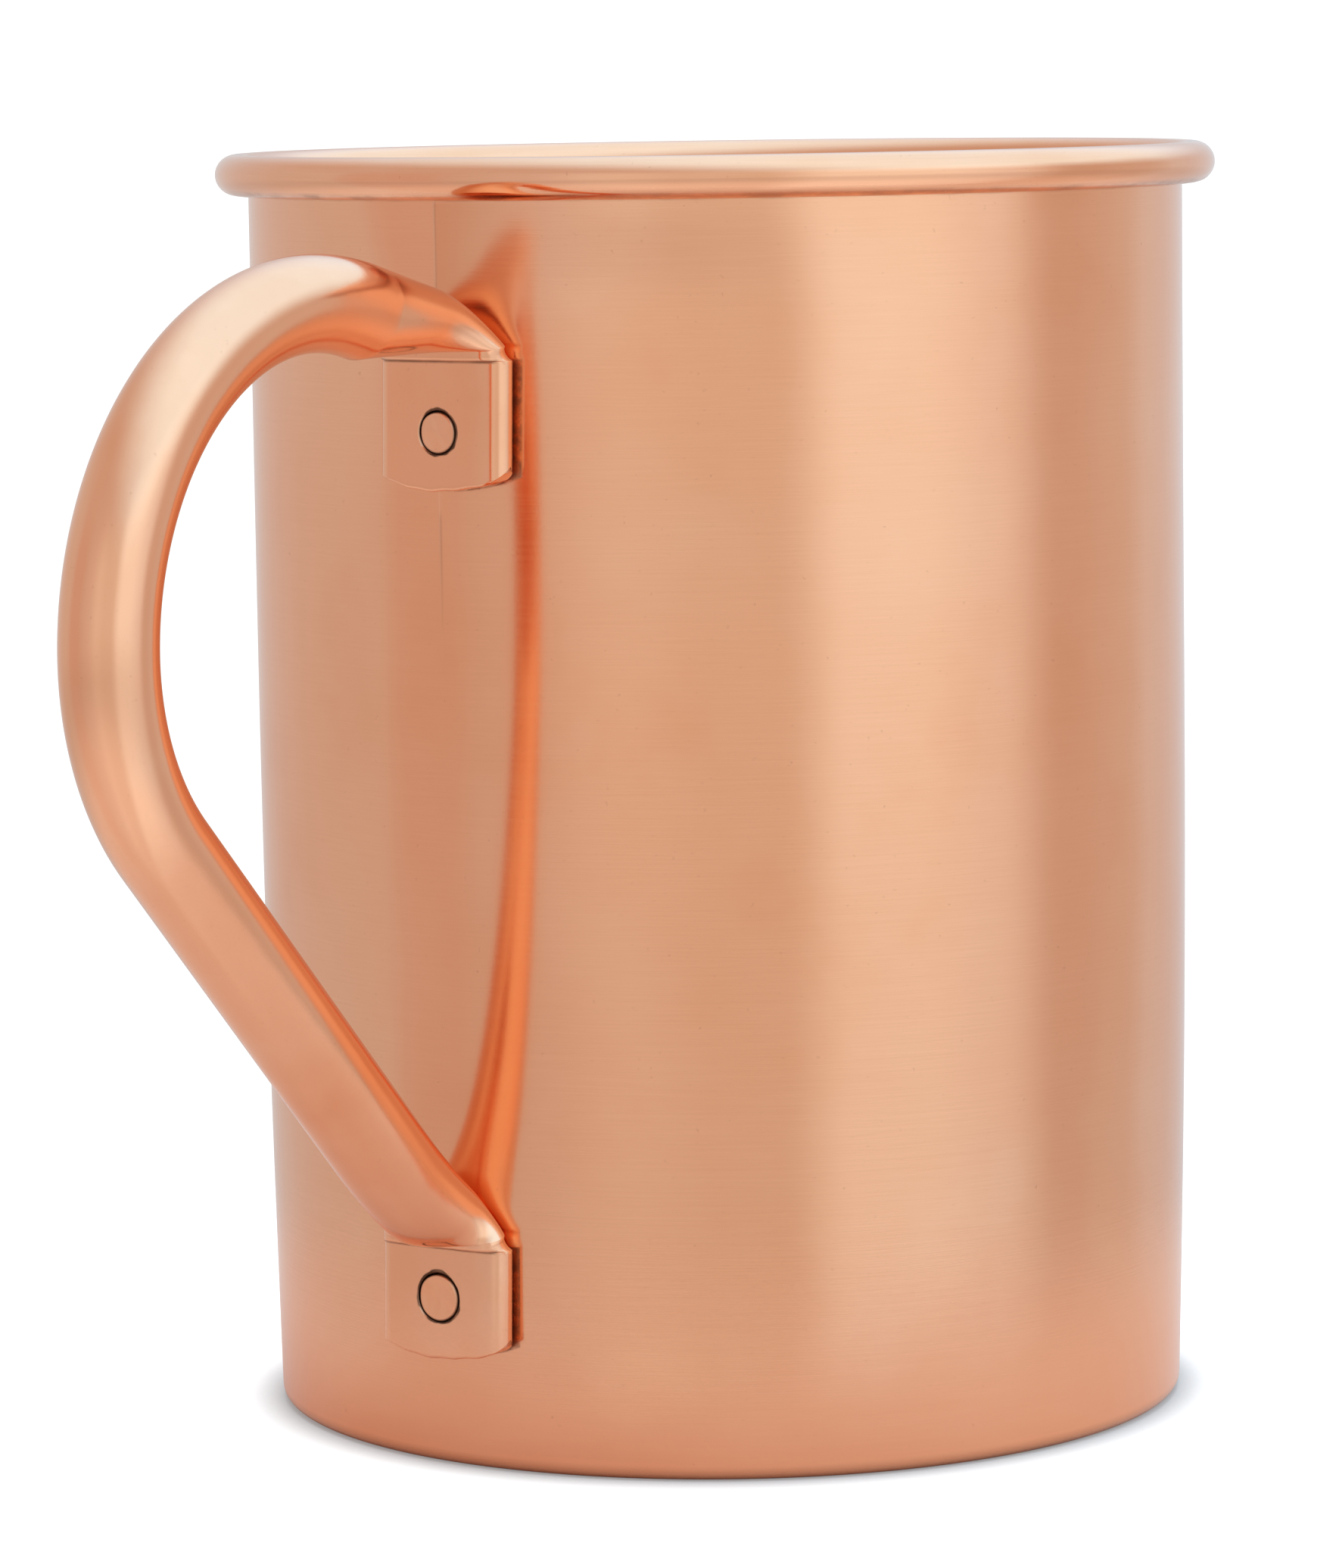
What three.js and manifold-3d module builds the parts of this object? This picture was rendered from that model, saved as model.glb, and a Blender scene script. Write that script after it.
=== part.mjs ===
// A copper tankard: a rolled sheet cup with a curled rim, a flat base disc let into its foot, and a handle
// of bent tube, whose two ends are pressed flat and riveted to the wall.
// Millimetres, +Z up. The origin is the centre of the base's underside, and the handle points along +X.

import * as THREE from 'three';
import { mergeVertices } from 'three/addons/utils/BufferGeometryUtils.js';
import Module from 'manifold-3d';

const wasm = await Module();
wasm.setup();

const degrees = Math.PI / 180;

// Cup. Radii are to the outside unless a name says otherwise.
const cupHeight = 119.6;
const wallRadius = 44.45;
const footDraw = 0.85; // how much narrower the cup is at the foot
const taperHeight = 70; // below this the wall draws in towards the foot
const sheet = 0.8;
const footEdge = 1.2; // outside radius of the corner where the wall turns under
const footLip = 1.4; // flat of the lip that the wall turns in under the cup
const curlRadius = 1.93;
const curlSweep = 290 * degrees;

// Base disc
const baseThickness = 1.0;
const baseClearance = 0.2;

// Handle tube
const tubeRadius = 4.3;
const tubeWall = 1.0;
const pressedSlit = 0.3; // left between the two walls where the tube is pressed flat
const tabWidth = 13.8;
const tabEndArc = 1.3; // how far the middle of a tab's cut end stands past its corners
const tabSeat = 0.1; // between a tab's back and the wall
const foldShoulder = 0.9; // how far the tube steps out and up just above a tab's fold

// Handle loop, on the tube's centreline
const handleStandOff = 53.35; // from the wall to the outermost point of the handle
const crownStandOff = 21.25; // from the wall to the centre of the crown's bend
const crownDrop = 7.9; // from the rim down to the crown's highest point
const heelRadius = 25; // the tighter bend that turns the tube into the leg
const crownApproach = 16 * degrees; // how steeply the tube still rises where it leaves the upper tab
const handleSkew = 2; // how far the upper tab sits to one side of the lower, the handle being fitted by hand

// Pressed ends
const upperTabLength = 11.7; // from the fold down to the end
const lowerTabLength = 10.4;
const lowerTabRise = 10.5; // from the foot up to the end of the lower tab
const upperBendReach = 5.3; // from the start of the bend in the tube's back to where its two tangents meet
const lowerBendReach = 2.1;
const upperFoldDrop = 0.1; // how far the fold lies below the start of that bend
const lowerFoldDrop = 3;
const lowerPressedRun = 13; // how far up the leg the tube takes to come back to its full round
const upperSwell = 0; // how fast the front fills out above the fold: 0 evenly, 1 at once
const lowerSwell = 1;

// Rivets
const rivetRadius = 2.1;
const rivetClearance = 0.2;
const rivetHeadRadius = 4;
const rivetHeadThickness = 1.1;
const rivetHeadSeat = 0.1;
const rivetEdge = 0.2; // chamfer at the end that shows
const upperRivetRise = 5.3; // centre of the rivet above the end of its tab
const lowerRivetRise = 5.7;

// Facets
const cupSides = 60;
const tubeSides = 24;
const rivetSides = 24;
const footSteps = 3; // round the outside of the corner at the foot
const footInsideSteps = 2;
const taperSteps = 4;
const curlSteps = 13; // round the outside of the curl
const curlInsideSteps = 8;
const headSteps = 4;
const pressedSteps = 8;
const heelSteps = 5;
const crownSteps = 11;

// Sizes that follow from those above
const footRadius = wallRadius - footDraw;
const crownRadius = handleStandOff - crownStandOff - tubeRadius;
const tabThickness = 2 * tubeWall + pressedSlit;
const drillLength = 4 * rivetHeadRadius;

// The wall's outside radius at a height above the foot's corner.
function wallRadiusAt(height) {
  const depth = Math.max(0, (taperHeight - height) / (taperHeight - footEdge));
  return wallRadius - (wallRadius - footRadius) * depth ** 2;
}

function arcPoints(centreX, centreY, radius, from, to, steps) {
  const clockwise = to < from;
  return new THREE.EllipseCurve(centreX, centreY, radius, radius, from, to, clockwise).getPoints(steps);
}

// One face of the wall between the foot's corner and the plain barrel, inset from the outside.
function taperPoints(inset) {
  return Array.from({ length: taperSteps + 1 }, (_, step) => {
    const height = THREE.MathUtils.lerp(footEdge, taperHeight, step / taperSteps);
    return new THREE.Vector2(wallRadiusAt(height) - inset, height);
  });
}

// Drops the points that repeat the one before, where two stretches of an outline join.
function joined(...stretches) {
  const points = stretches.flat();
  const sameWithin = 1e-6;
  return points.filter((point, index) => index === 0 || point.distanceTo(points[index - 1]) > sameWithin);
}

// A closed outline of (radius, height) points turned about Z.
function turned(outline, sides) {
  const geometry = new THREE.LatheGeometry(outline, sides);
  geometry.rotateX(Math.PI / 2);
  return geometry;
}

function toSolid(geometry) {
  const bare = geometry.clone();
  bare.deleteAttribute('normal');
  bare.deleteAttribute('uv');
  const merged = mergeVertices(bare);
  return new wasm.Manifold(new wasm.Mesh({
    numProp: 3,
    vertProperties: new Float32Array(merged.attributes.position.array),
    triVerts: new Uint32Array(merged.index.array),
  }));
}

function toGeometry(solid) {
  const mesh = solid.getMesh();
  const geometry = new THREE.BufferGeometry();
  geometry.setAttribute('position', new THREE.BufferAttribute(mesh.vertProperties, 3));
  geometry.setIndex(new THREE.BufferAttribute(mesh.triVerts, 1));
  geometry.computeVertexNormals();
  return geometry;
}

// Cuts a hole along X for each rivet.
function withRivetHoles(solid, rivets) {
  const radius = rivetRadius + rivetClearance;
  return rivets.reduce((drilled, { side, height }) => {
    const cutter = new THREE.CylinderGeometry(radius, radius, drillLength, rivetSides);
    cutter.rotateZ(-Math.PI / 2);
    cutter.translate(wallRadius, side, height);
    return drilled.subtract(toSolid(cutter));
  }, solid);
}

// The rolled wall with its foot turned in and its rim curled outwards over a hollow.
function cupWallGeometry(rivets) {
  const lipRadius = footRadius - footEdge - footLip;
  const cornerRadius = footRadius - footEdge;
  const curlHeight = cupHeight - curlRadius;
  const curlCentre = wallRadius - sheet + curlRadius;
  const curlEnd = Math.PI - curlSweep;
  const outline = joined(
    [new THREE.Vector2(lipRadius, 0)],
    arcPoints(cornerRadius, footEdge, footEdge, -Math.PI / 2, 0, footSteps),
    taperPoints(0),
    arcPoints(curlCentre, curlHeight, curlRadius - sheet, Math.PI, curlEnd, curlInsideSteps),
    arcPoints(curlCentre, curlHeight, curlRadius, curlEnd, Math.PI, curlSteps),
    taperPoints(sheet).reverse(),
    arcPoints(cornerRadius, footEdge, footEdge - sheet, 0, -Math.PI / 2, footInsideSteps),
    [new THREE.Vector2(lipRadius, sheet), new THREE.Vector2(lipRadius, 0)],
  );
  return toGeometry(withRivetHoles(toSolid(turned(outline, cupSides)), rivets));
}

function baseDiscGeometry() {
  const radius = footRadius - footEdge - footLip - baseClearance;
  const geometry = new THREE.CylinderGeometry(radius, radius, baseThickness, cupSides);
  geometry.rotateX(Math.PI / 2);
  geometry.translate(0, 0, baseThickness / 2);
  return geometry;
}

// Where the handle's stretches begin and end in its own plane, as points (distance from the axis, height).
// Each end's meets is the point on the wall that the tube's back would run to if it were not bent there.
function handlePlan() {
  const crownCentre = new THREE.Vector2(
    wallRadius + crownStandOff, cupHeight - crownDrop - tubeRadius - crownRadius);
  const crownEndAngle = Math.PI / 2 + crownApproach;
  const crownOut = new THREE.Vector2(Math.cos(crownEndAngle), Math.sin(crownEndAngle));
  const crownOuterEnd = crownCentre.clone().addScaledVector(crownOut, crownRadius + tubeRadius);
  const crownToWall = crownOuterEnd.x - wallRadius - tabSeat;
  const crownMeets = new THREE.Vector2(
    wallRadius + tabSeat, crownOuterEnd.y - crownToWall * Math.tan(crownApproach));

  // The leg leaves the wall on a tangent to the inside of the heel.
  const heelCentre = new THREE.Vector2(crownCentre.x + crownRadius - heelRadius, crownCentre.y);
  const legFoot = lowerTabRise + lowerTabLength + lowerFoldDrop + lowerBendReach;
  const legMeets = new THREE.Vector2(wallRadiusAt(legFoot) + tabSeat, legFoot);
  const toHeel = heelCentre.clone().sub(legMeets);
  const legLean = Math.atan2(toHeel.x, toHeel.y) + Math.asin((heelRadius - tubeRadius) / toHeel.length());

  return {
    crownCentre, crownEndAngle, heelCentre, legLean,
    upper: {
      meets: crownMeets, lean: Math.PI / 2 - crownApproach, run: crownToWall / Math.cos(crownApproach),
      bendReach: upperBendReach, foldDrop: upperFoldDrop,
      length: upperTabLength, rivetRise: upperRivetRise, swell: upperSwell,
    },
    lower: {
      meets: legMeets, lean: legLean, run: lowerPressedRun,
      bendReach: lowerBendReach, foldDrop: lowerFoldDrop,
      length: lowerTabLength, rivetRise: lowerRivetRise, swell: lowerSwell,
    },
  };
}

// The height of the fold at the top of a tab.
function foldHeight(end) {
  return end.meets.y - end.bendReach - end.foldDrop;
}

// How far to one side the handle's plane stands at a height, as it leans from the lower fold to the upper.
function sideAt(plan, height) {
  const lowest = foldHeight(plan.lower);
  const share = (height - lowest) / (foldHeight(plan.upper) - lowest);
  return handleSkew * (share - 0.5);
}

// Where a rivet goes through a tab.
function rivetPlace(plan, end) {
  const height = foldHeight(end) - end.length + end.rivetRise;
  return { height, side: sideAt(plan, height) };
}

// The cross-sections of a pressed end, from the cut end of its tab to the full tube. Each has a point on the
// tube's back, which follows the wall and then bends away from it, and one on its front, where the fold is.
function pressedEnd(end) {
  const fold = foldHeight(end);
  const bend = end.bendReach / Math.tan(end.lean / 2);
  const along = new THREE.Vector2(Math.sin(end.lean), Math.cos(end.lean));
  const outwards = new THREE.Vector2(along.y, -along.x);
  const backStart = new THREE.Vector2(end.meets.x, fold);
  const bendStart = new THREE.Vector2(end.meets.x, end.meets.y - end.bendReach);
  const bendEnd = end.meets.clone().addScaledVector(along, end.bendReach);
  const backEnd = end.meets.clone().addScaledVector(along, end.run);
  const frontStart = new THREE.Vector2(end.meets.x + tabThickness, fold);
  const shoulder = frontStart.clone().addScalar(foldShoulder);
  const frontEnd = backEnd.clone().addScaledVector(outwards, 2 * tubeRadius);

  const back = new THREE.CurvePath();
  back.add(new THREE.LineCurve(backStart, bendStart));
  back.add(new THREE.EllipseCurve(
    bendStart.x + bend, bendStart.y, bend, bend, Math.PI, Math.PI - end.lean, true));
  back.add(new THREE.LineCurve(bendEnd, backEnd));

  // The front runs from the shoulder to the full tube, straight or filled out towards the tube's own line.
  const halfway = shoulder.clone().add(frontEnd).divideScalar(2);
  const beside = frontEnd.clone().addScaledVector(along, shoulder.clone().sub(frontEnd).dot(along));
  const front = new THREE.QuadraticBezierCurve(shoulder, halfway.lerp(beside, end.swell), frontEnd);

  const tab = [1, 0.5].map((share) => ({
    back: backStart.clone().setY(fold - share * end.length),
    front: frontStart.clone().setY(fold - share * end.length),
    endArc: share === 1 ? tabEndArc : 0,
  }));
  const swelling = Array.from({ length: pressedSteps + 1 }, (_, step) => ({
    back: back.getPointAt(step / pressedSteps),
    front: step === 0 ? frontStart : front.getPoint((step - 1) / (pressedSteps - 1)),
    endArc: 0,
  }));
  return [...tab, ...swelling];
}

// Cross-sections of the plain tube round a bend.
function bentTube(centre, bendRadius, from, to, steps) {
  return Array.from({ length: steps }, (_, step) => {
    const angle = THREE.MathUtils.lerp(from, to, step / steps);
    const outwards = new THREE.Vector2(Math.cos(angle), Math.sin(angle));
    return {
      inner: centre.clone().addScaledVector(outwards, bendRadius - tubeRadius),
      outer: centre.clone().addScaledVector(outwards, bendRadius + tubeRadius),
      endArc: 0,
    };
  });
}

// Every cross-section from the lower tab's end to the upper tab's end. The inner point faces into the loop,
// which is the back of the lower tab and the front of the upper one.
function handleSections(plan) {
  const lower = pressedEnd(plan.lower).map(({ back, front, endArc }) => (
    { inner: back, outer: front, endArc }));
  const upper = pressedEnd(plan.upper).map(({ back, front, endArc }) => (
    { inner: front, outer: back, endArc }));
  return [
    ...lower,
    ...bentTube(plan.heelCentre, heelRadius, -plan.legLean, 0, heelSteps),
    ...bentTube(plan.crownCentre, crownRadius, 0, plan.crownEndAngle, crownSteps),
    ...upper.reverse(),
  ];
}

// A point of a cross-section at an angle round it, as (across the plane, from the inside to the outside).
// A full tube is a circle. Pressed flat it has straight faces and half-round edges.
function sectionPoint(angle, halfWidth, halfDepth, pressed) {
  const across = halfWidth * Math.cos(angle);
  const intoEdge = Math.max(0, Math.abs(across) - (halfWidth - halfDepth)) / halfDepth;
  const flatFace = Math.sign(Math.sin(angle)) * Math.sqrt(Math.max(0, 1 - intoEdge ** 2));
  return new THREE.Vector2(across, halfDepth * THREE.MathUtils.lerp(Math.sin(angle), flatFace, pressed));
}

// Carries a point of a straight tube to its place on the pressed and bent one.
function handlePoint(plan, section, angle, inset) {
  const { inner, outer, endArc } = section;
  const halfDepth = inner.distanceTo(outer) / 2;
  const pressed = THREE.MathUtils.clamp((tubeRadius - halfDepth) / (tubeRadius - tabThickness / 2), 0, 1);
  const halfWidth = THREE.MathUtils.lerp(tubeRadius, tabWidth / 2, pressed);
  const point = sectionPoint(angle, halfWidth - inset, halfDepth - inset, pressed);
  const place = inner.clone().add(outer).divideScalar(2);
  const outwards = outer.clone().sub(inner).normalize();
  place.addScaledVector(outwards, point.y);
  const height = place.y + endArc * (point.x / halfWidth) ** 2;
  return new THREE.Vector3(place.x, point.x + sideAt(plan, height), height);
}

// The handle starts as a straight hollow tube, turned about Y, whose height counts cross-sections. Each of
// its points is then carried to its place.
function handleGeometry(plan, rivets) {
  const sections = handleSections(plan);
  const stations = sections.map((_, index) => index);
  const outline = [
    ...stations.map((station) => new THREE.Vector2(tubeRadius, station)),
    ...stations.reverse().map((station) => new THREE.Vector2(tubeRadius - tubeWall, station)),
    new THREE.Vector2(tubeRadius, 0),
  ];
  const geometry = new THREE.LatheGeometry(outline, tubeSides);
  const position = geometry.attributes.position;
  for (let index = 0; index < position.count; index += 1) {
    const straight = new THREE.Vector3().fromBufferAttribute(position, index);
    const section = sections[Math.round(straight.y)];
    const onOutside = Math.hypot(straight.x, straight.z) > tubeRadius - tubeWall / 2;
    const inset = onOutside ? 0 : tubeWall;
    const point = handlePoint(plan, section, Math.atan2(straight.z, straight.x), inset);
    position.setXYZ(index, point.x, point.y, point.z);
  }
  return toGeometry(withRivetHoles(toSolid(geometry), rivets));
}

// A rivet with its wide head inside the cup and the end of its shank level with the front of the tab.
function rivetGeometry(end, { side, height }) {
  const shankEnd = end.meets.x + tabThickness;
  const inside = wallRadiusAt(height) - sheet;
  const headFace = Math.sqrt(inside ** 2 - (Math.abs(side) + rivetHeadRadius) ** 2) - rivetHeadSeat;
  const headTop = headFace - rivetHeadThickness;
  const outline = joined(
    [new THREE.Vector2(0, headTop)],
    arcPoints(rivetHeadRadius - rivetHeadThickness, headFace, rivetHeadThickness, -Math.PI / 2, 0, headSteps),
    [
      new THREE.Vector2(rivetRadius, headFace),
      new THREE.Vector2(rivetRadius, shankEnd - rivetEdge),
      new THREE.Vector2(rivetRadius - rivetEdge, shankEnd),
      new THREE.Vector2(0, shankEnd),
    ],
  );
  const geometry = new THREE.LatheGeometry(outline, rivetSides);
  geometry.rotateZ(-Math.PI / 2);
  geometry.translate(0, side, height);
  return geometry;
}

function piece(name, geometry, color, roughness) {
  const material = new THREE.MeshStandardMaterial({ color, roughness, metalness: 1 });
  const mesh = new THREE.Mesh(geometry, material);
  mesh.name = name;
  return mesh;
}

const plan = handlePlan();
const upperRivet = rivetPlace(plan, plan.upper);
const lowerRivet = rivetPlace(plan, plan.lower);

const mug = new THREE.Group();
mug.add(
  piece('cup_wall', cupWallGeometry([lowerRivet, upperRivet]), 0xd9976f, 0.35),
  piece('base_disc', baseDiscGeometry(), 0xd9976f, 0.4),
  piece('handle_tube', handleGeometry(plan, [lowerRivet, upperRivet]), 0xdd9a70, 0.3),
  piece('upper_rivet', rivetGeometry(plan.upper, upperRivet), 0xd0875f, 0.35),
  piece('lower_rivet', rivetGeometry(plan.lower, lowerRivet), 0xd0875f, 0.35),
);

export default mug;
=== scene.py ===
"""Looks for a copper tankard: a brushed cup with a curled rim and a let-in base, and a riveted tube handle.

Everything is in metres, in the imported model's frame: +Z up, and the handle points along +X.
"""

import math

import bpy
import numpy as np
from mathutils import Matrix, Vector


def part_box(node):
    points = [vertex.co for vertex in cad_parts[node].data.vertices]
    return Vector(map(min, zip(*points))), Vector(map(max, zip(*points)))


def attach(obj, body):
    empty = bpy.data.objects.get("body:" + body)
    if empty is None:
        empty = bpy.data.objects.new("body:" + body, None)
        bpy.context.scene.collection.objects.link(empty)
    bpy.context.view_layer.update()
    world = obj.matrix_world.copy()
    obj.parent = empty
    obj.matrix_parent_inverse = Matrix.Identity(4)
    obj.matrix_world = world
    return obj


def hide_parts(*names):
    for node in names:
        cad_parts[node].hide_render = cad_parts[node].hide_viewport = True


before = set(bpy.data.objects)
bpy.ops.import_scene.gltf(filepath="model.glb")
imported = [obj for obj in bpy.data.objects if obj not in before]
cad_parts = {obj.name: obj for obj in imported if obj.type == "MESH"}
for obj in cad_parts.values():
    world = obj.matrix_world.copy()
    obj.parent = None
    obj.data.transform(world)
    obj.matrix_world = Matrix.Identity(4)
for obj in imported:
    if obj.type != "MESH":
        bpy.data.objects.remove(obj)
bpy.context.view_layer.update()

MM = 0.001
UP = Vector((0, 0, 1))

# Sizes read from the frame
cup_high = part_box("cup_wall")[1]
disc_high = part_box("base_disc")[1]
handle_low, handle_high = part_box("handle_tube")
cup_height = cup_high.z
rim_radius = cup_high.x

# Cup. Radii are to the outside unless a name says otherwise.
sheet = 0.8 * MM
curl_radius = 1.93 * MM
curl_sweep = math.radians(290)
wall_radius = rim_radius - 2 * curl_radius + sheet
foot_draw = 0.85 * MM
foot_radius = wall_radius - foot_draw
foot_edge = 1.2 * MM
foot_lip = 1.4 * MM
taper_height = 70 * MM
seam_angle = math.radians(-0.9)  # the wall's seam stands just beside the handle's plane
seam_width = 0.35 * MM
seam_depth = 0.03 * MM
seam_start = 70 * MM  # the groove starts at this height, and deepens from there to the handle's upper end
peak_half_angle = 0.3  # radians
peak_fall = 0.78 * MM
curl_underside = cup_height - 2 * curl_radius

# Handle
tube_radius = 4.3 * MM
tube_wall = 1.0 * MM
pressed_slit = 0.3 * MM
tab_thickness = 2 * tube_wall + pressed_slit
tab_width = 13.8 * MM
tab_end_arc = 1.3 * MM
tab_corner = 1.1 * MM
tab_seat = 0.1 * MM
tab_hug = 0.5 * MM  # how far a tab's side edges are dressed back towards the wall
fold_shoulder = 0.9 * MM
fold_round = 0.4 * MM
crown_stand_off = 21.25 * MM
crown_drop = 7.9 * MM
crown_radius = handle_high.x - wall_radius - crown_stand_off - tube_radius
heel_radius = 25 * MM
crown_approach = math.radians(16)
handle_skew = 2 * MM
lower_tab_rise = handle_low.z
pressed_run = 13 * MM

# Rivets
rivet_radius = 2.1 * MM
hole_radius = 2.3 * MM
rivet_head_radius = 4 * MM
rivet_head_flat = 2.9 * MM
rivet_head_thickness = 1.0 * MM


def wall_radius_at(height):
    """The wall draws in towards the foot."""
    depth = max(0.0, (taper_height - height) / (taper_height - foot_edge))
    return wall_radius - foot_draw * depth**2


# ---------------------------------------------------------------- camera and light


def make_camera():
    """The photograph's view: from the handle's side, a little above the rim, through a long lens."""
    azimuth, distance, height = math.radians(123.5), 0.598, 0.12846
    pitch, yaw, roll = math.radians(6.665), math.radians(-0.494), math.radians(-0.849)
    back = Vector((math.sin(azimuth), -math.cos(azimuth), 0))
    right = UP.cross(back)
    forward = right * math.sin(yaw) * math.cos(pitch) - back * math.cos(yaw) * math.cos(pitch)
    forward -= UP * math.sin(pitch)
    level = forward.cross(UP).normalized()
    upright = level.cross(forward)
    side = level * math.cos(roll) + upright * math.sin(roll)
    top = upright * math.cos(roll) - level * math.sin(roll)

    data = bpy.data.cameras.new("camera")
    data.lens = 143.43
    data.sensor_width = 36
    data.clip_start, data.clip_end = 0.05, 20
    camera = bpy.data.objects.new("camera", data)
    turn = Matrix((side, top, -forward)).transposed()
    camera.matrix_world = Matrix.Translation(back * distance + UP * height) @ turn.to_4x4()
    bpy.context.collection.objects.link(camera)
    bpy.context.scene.camera = camera
    return back


def make_world(view_back):
    """The studio: a dim room with tall soft lights and a large high one. The camera itself sees plain white.

    A tall light is (angle round from the camera, positive to the right; half its width; softness of its
    edges; brightness it adds). The high one is (angle round; height; inner and outer radius; brightness).
    """
    room = (0.68, 0.64, 0.63)
    tall = [
        (50, 31, 20, (0.24, 0.42, 0.55)),
        (14, 48, 26, (0.12, 0.18, 0.18)),
        (-34, 20, 18, (0.04, 0.06, 0.08)),
        (-78, 14, 10, (0, -0.06, -0.08)),
        (-138, 42, 1, (0.01, 0.05, 0.07)),
        (120, 16, 14, (0.02, 0.06, 0.08)),
        (152, 28, 16, (0.04, 0.12, 0.18)),
    ]
    high = (102, 52, 30, 86, (0.36, 0.95, 1.45))
    below = 0.93
    ground = (0.2, 0.19, 0.19)

    world = bpy.data.worlds.new("studio")
    world.use_nodes = True
    world.node_tree.nodes.clear()
    bpy.context.scene.world = world
    m = NodeTree(world.node_tree, "Generated")
    direction = m.place
    right = UP.cross(view_back)
    azimuth = m.maths("ARCTAN2", m.dot(direction, right), m.dot(direction, view_back))
    rise = m.dot(direction, UP)
    fading_down = m.smooth(rise, -0.2, -0.04, 0.7, 1)
    fading_up = m.smooth(rise, 0.25, 0.6, 1, 0.1)
    height_share = m.maths("MULTIPLY", fading_down, fading_up)
    light = room
    for angle, half_width, softness, brightness in tall:
        away = m.maths("ABSOLUTE", m.maths("SUBTRACT", azimuth, math.radians(angle)), 0)
        inner, outer = (math.radians(half_width + side * softness / 2) for side in (-1, 1))
        share = m.maths("MULTIPLY", m.smooth(away, inner, outer, 1, 0), height_share)
        light = m.add_scaled(light, share, brightness)
    turn, height, inner, outer, brightness = high
    aim = Matrix.Rotation(math.radians(turn), 3, "Z") @ view_back * math.cos(math.radians(height))
    aim += UP * math.sin(math.radians(height))
    edge, core = math.cos(math.radians(outer)), math.cos(math.radians(inner))
    near = m.smooth(m.dot(direction, aim), edge, core, 0, 1)
    light = m.add_scaled(light, m.maths("MULTIPLY", near, m.smooth(rise, 0.12, 0.55, 0, 1)), brightness)
    light = m.scale(light, m.smooth(rise, -0.24, -0.06, below, 1))
    light = m.add_scaled(light, m.smooth(rise, -0.7, -0.25, 1, 0), ground)

    studio = world.node_tree.nodes.new("ShaderNodeBackground")
    m.link(light, studio.inputs["Color"])
    white = world.node_tree.nodes.new("ShaderNodeBackground")
    white.inputs["Color"].default_value = (1.1, 1.1, 1.1, 1)
    seen = world.node_tree.nodes.new("ShaderNodeMixShader")
    m.link(m.camera_ray(), seen.inputs["Fac"])
    m.link(studio.outputs["Background"], seen.inputs[1])
    m.link(white.outputs["Background"], seen.inputs[2])
    out = world.node_tree.nodes.new("ShaderNodeOutputWorld")
    m.link(seen.outputs["Shader"], out.inputs["Surface"])


def make_floor():
    """A round pale table, just large enough to catch the mug's shadow, that fades out towards its edge.

    The metal reflects a warm table. The camera sees one that glows white wherever nothing stands close.
    """
    radius, sides = 0.14, 128
    reflected = (0.92, 0.66, 0.54)
    seen_directly = (0.32, 0.28, 0.26)
    shadow_reach = 6 * MM
    mesh = bpy.data.meshes.new("floor")
    angles = [2 * math.pi * side / sides for side in range(sides)]
    rim = [(radius * math.cos(angle), radius * math.sin(angle), 0) for angle in angles]
    mesh.from_pydata(rim, [], [tuple(range(sides))])
    floor = bpy.data.objects.new("floor", mesh)
    bpy.context.collection.objects.link(floor)
    m = Surface("floor_white")
    m.set(roughness=0.9, emission_color=(1, 1, 1, 1))
    seen = m.camera_ray()
    m.link(m.mix(seen, reflected, seen_directly), m.shader.inputs["Base Color"])
    open_sky = m.tree.nodes.new("ShaderNodeAmbientOcclusion")
    open_sky.samples = 8
    open_sky.inputs["Distance"].default_value = shadow_reach
    glow = m.spread(open_sky.outputs["AO"], 0.45, 0.88, 0.25, 0.9)
    m.link(m.maths("MULTIPLY", seen, glow), m.shader.inputs["Emission Strength"])
    away = m.length(m.axis("X"), m.axis("Y"))
    m.link(m.smooth(away, 0.45 * radius, radius, 1, 0), m.shader.inputs["Alpha"])
    floor.data.materials.append(m.material)


# ---------------------------------------------------------------- mesh helpers


def arc(centre, radius, start, end, steps):
    """Points of an arc in a plane, as (x, y) vectors."""
    angles = [start + (end - start) * step / steps for step in range(steps + 1)]
    return [Vector((centre[0] + radius * math.cos(a), centre[1] + radius * math.sin(a))) for a in angles]


def joined(*stretches):
    """Runs the stretches together and drops the points that repeat the one before."""
    points = [point for stretch in stretches for point in stretch]
    return [p for i, p in enumerate(points) if i == 0 or (p - points[i - 1]).length > 1e-8]


def new_piece(name, vertices, faces, node, sharp=40):
    mesh = bpy.data.meshes.new(name)
    mesh.from_pydata(vertices, [], faces)
    mesh.validate()
    piece = bpy.data.objects.new(name, mesh)
    bpy.context.collection.objects.link(piece)
    shade(piece, sharp)
    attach(piece, "root")
    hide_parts(node)
    return piece


def shade(piece, sharp):
    """Smooth shading, with edges sharper than the given degrees left crisp."""
    piece.data.shade_smooth()
    piece.data.set_sharp_from_angle(angle=math.radians(sharp))


def closed_grid(rings):
    """Faces between rings of equal length, each ring and the run of rings being closed on itself."""
    count, length = len(rings), len(rings[0])
    vertices = [point for ring in rings for point in ring]
    faces = []
    for i in range(count):
        for j in range(length):
            a, b = i * length + j, i * length + (j + 1) % length
            c, d = (i + 1) % count * length + (j + 1) % length, (i + 1) % count * length + j
            faces.append((a, b, c, d))
    return vertices, faces


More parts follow.
